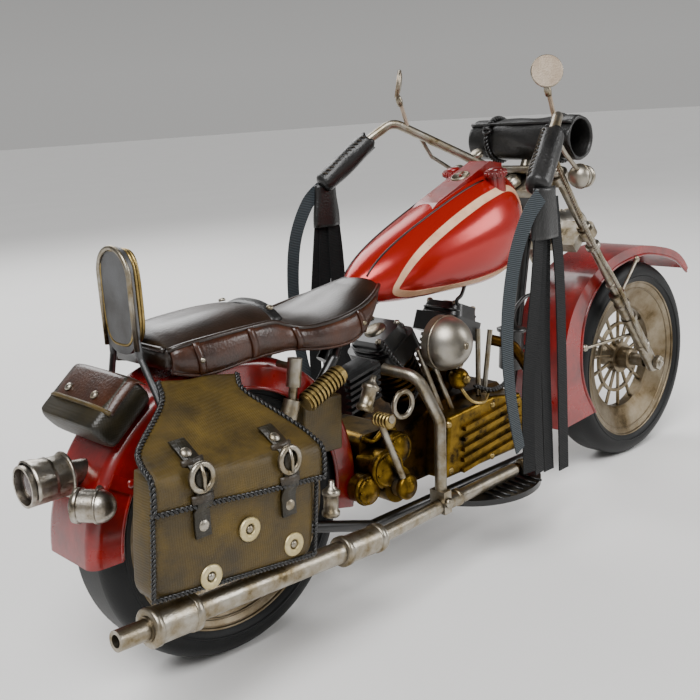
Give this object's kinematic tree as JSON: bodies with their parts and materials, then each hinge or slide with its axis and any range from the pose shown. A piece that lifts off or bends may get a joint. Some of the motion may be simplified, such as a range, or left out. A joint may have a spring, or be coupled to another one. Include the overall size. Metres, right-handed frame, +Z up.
{
  "type": "model motorcycle",
  "caption": "Tinplate display model of a heavy touring motorcycle with turning fork, spinning wheels, kick lever and folding side stand.",
  "frame": {"origin": "on the floor under the middle of the model, in its middle plane", "axes": "+X ahead, +Y to the rider's left, +Z up"},
  "size_m": [0.3748, 0.1248, 0.1986],
  "materials": {
    "red_enamel": "gloss",
    "black_enamel": "satin",
    "bright_tin": "brushed",
    "aged_rim": "brushed",
    "gold_lacquer": "satin",
    "brass": "satin",
    "tyre_rubber": "matte",
    "brown_leather": "gloss",
    "black_leather": "satin",
    "olive_leather": "satin",
    "black_ribbon": "matte"
  },
  "bodies": {
    "chassis": {"air_cleaner": "bright_tin", "axle_plates": "black_enamel", "backbone_tube": "black_enamel", "bag_fittings": "bright_tin", "bag_flap": "olive_leather", "bottom_rails": "black_enamel", "cam_cover": "gold_lacquer", "carburettor": "gold_lacquer", "crankcase": "gold_lacquer", "cylinder_heads": "black_enamel", "cylinders": "gold_lacquer", "dash_panel_and_caps": "red_enamel", "down_tubes": "black_enamel", "exhaust_pipes": "bright_tin", "finned_box": "black_enamel", "footboards": "black_enamel", "front_header_pipe": "gold_lacquer", "fuel_tank": "red_enamel", "gearbox": "gold_lacquer", "head_tube": "black_enamel", "muffler": "bright_tin", "oil_box": "olive_leather", "primary_cover": "black_enamel", "pushrod_tubes": "bright_tin", "rear_axle": "bright_tin", "rear_fender": "red_enamel", "rear_fender_stays": "red_enamel", "rear_lamps": "bright_tin", "rear_struts": "black_enamel", "ribbed_canister": "brass", "saddlebag": "olive_leather", "seat": "brown_leather", "shock_absorbers": "bright_tin", "sissy_bar": "bright_tin", "sissy_pad": "black_leather", "tool_pouch": "olive_leather", "trim_ring": "bright_tin"},
    "steering": {"steering_stem": "bright_tin", "upper_clamp": "bright_tin", "fork_legs": "bright_tin", "fork_sliders": "bright_tin", "front_axle": "bright_tin", "handlebar": "bright_tin", "grips": "black_leather", "mirrors": "bright_tin", "bedroll": "black_leather", "front_lamps": "bright_tin", "front_fender": "red_enamel", "front_fender_stays": "bright_tin", "brake_cable": "bright_tin", "left_tassel": "black_ribbon", "right_tassel": "black_ribbon"},
    "front_wheel": {"front_tyre": "tyre_rubber", "front_rim": "aged_rim", "front_spokes": "aged_rim"},
    "rear_wheel": {"rear_tyre": "tyre_rubber", "rear_rim": "aged_rim", "rear_spokes": "aged_rim"},
    "side_stand": {"side_stand": "black_enamel"},
    "kick_lever": {"kick_lever": "bright_tin"}
  },
  "joints": [
    {"name": "steering", "type": "hinge", "parent": "chassis", "child": "steering", "pos_m": [0.0643, 0, 0.132], "axis": [-0.6157, 0, 0.788], "range_deg": [-18, 18], "deforming": ["left_tassel", "right_tassel", "brake_cable"]},
    {"name": "front_wheel_spin", "type": "hinge", "parent": "steering", "child": "front_wheel", "pos_m": [0.1374, 0, 0.05], "axis": [0, 1, 0], "continuous": true},
    {"name": "rear_wheel_spin", "type": "hinge", "parent": "chassis", "child": "rear_wheel", "pos_m": [-0.1202, 0, 0.05], "axis": [0, 1, 0], "continuous": true},
    {"name": "side_stand_fold", "type": "hinge", "parent": "chassis", "child": "side_stand", "pos_m": [-0.068, 0.0252, 0.0305], "axis": [0.201, 0.866, 0.4578], "range_deg": [0, 116]},
    {"name": "kick_lever_swing", "type": "hinge", "parent": "chassis", "child": "kick_lever", "pos_m": [-0.053, -0.026, 0.044], "axis": [0, 1, 0], "range_deg": [-60, 0]}
  ]
}
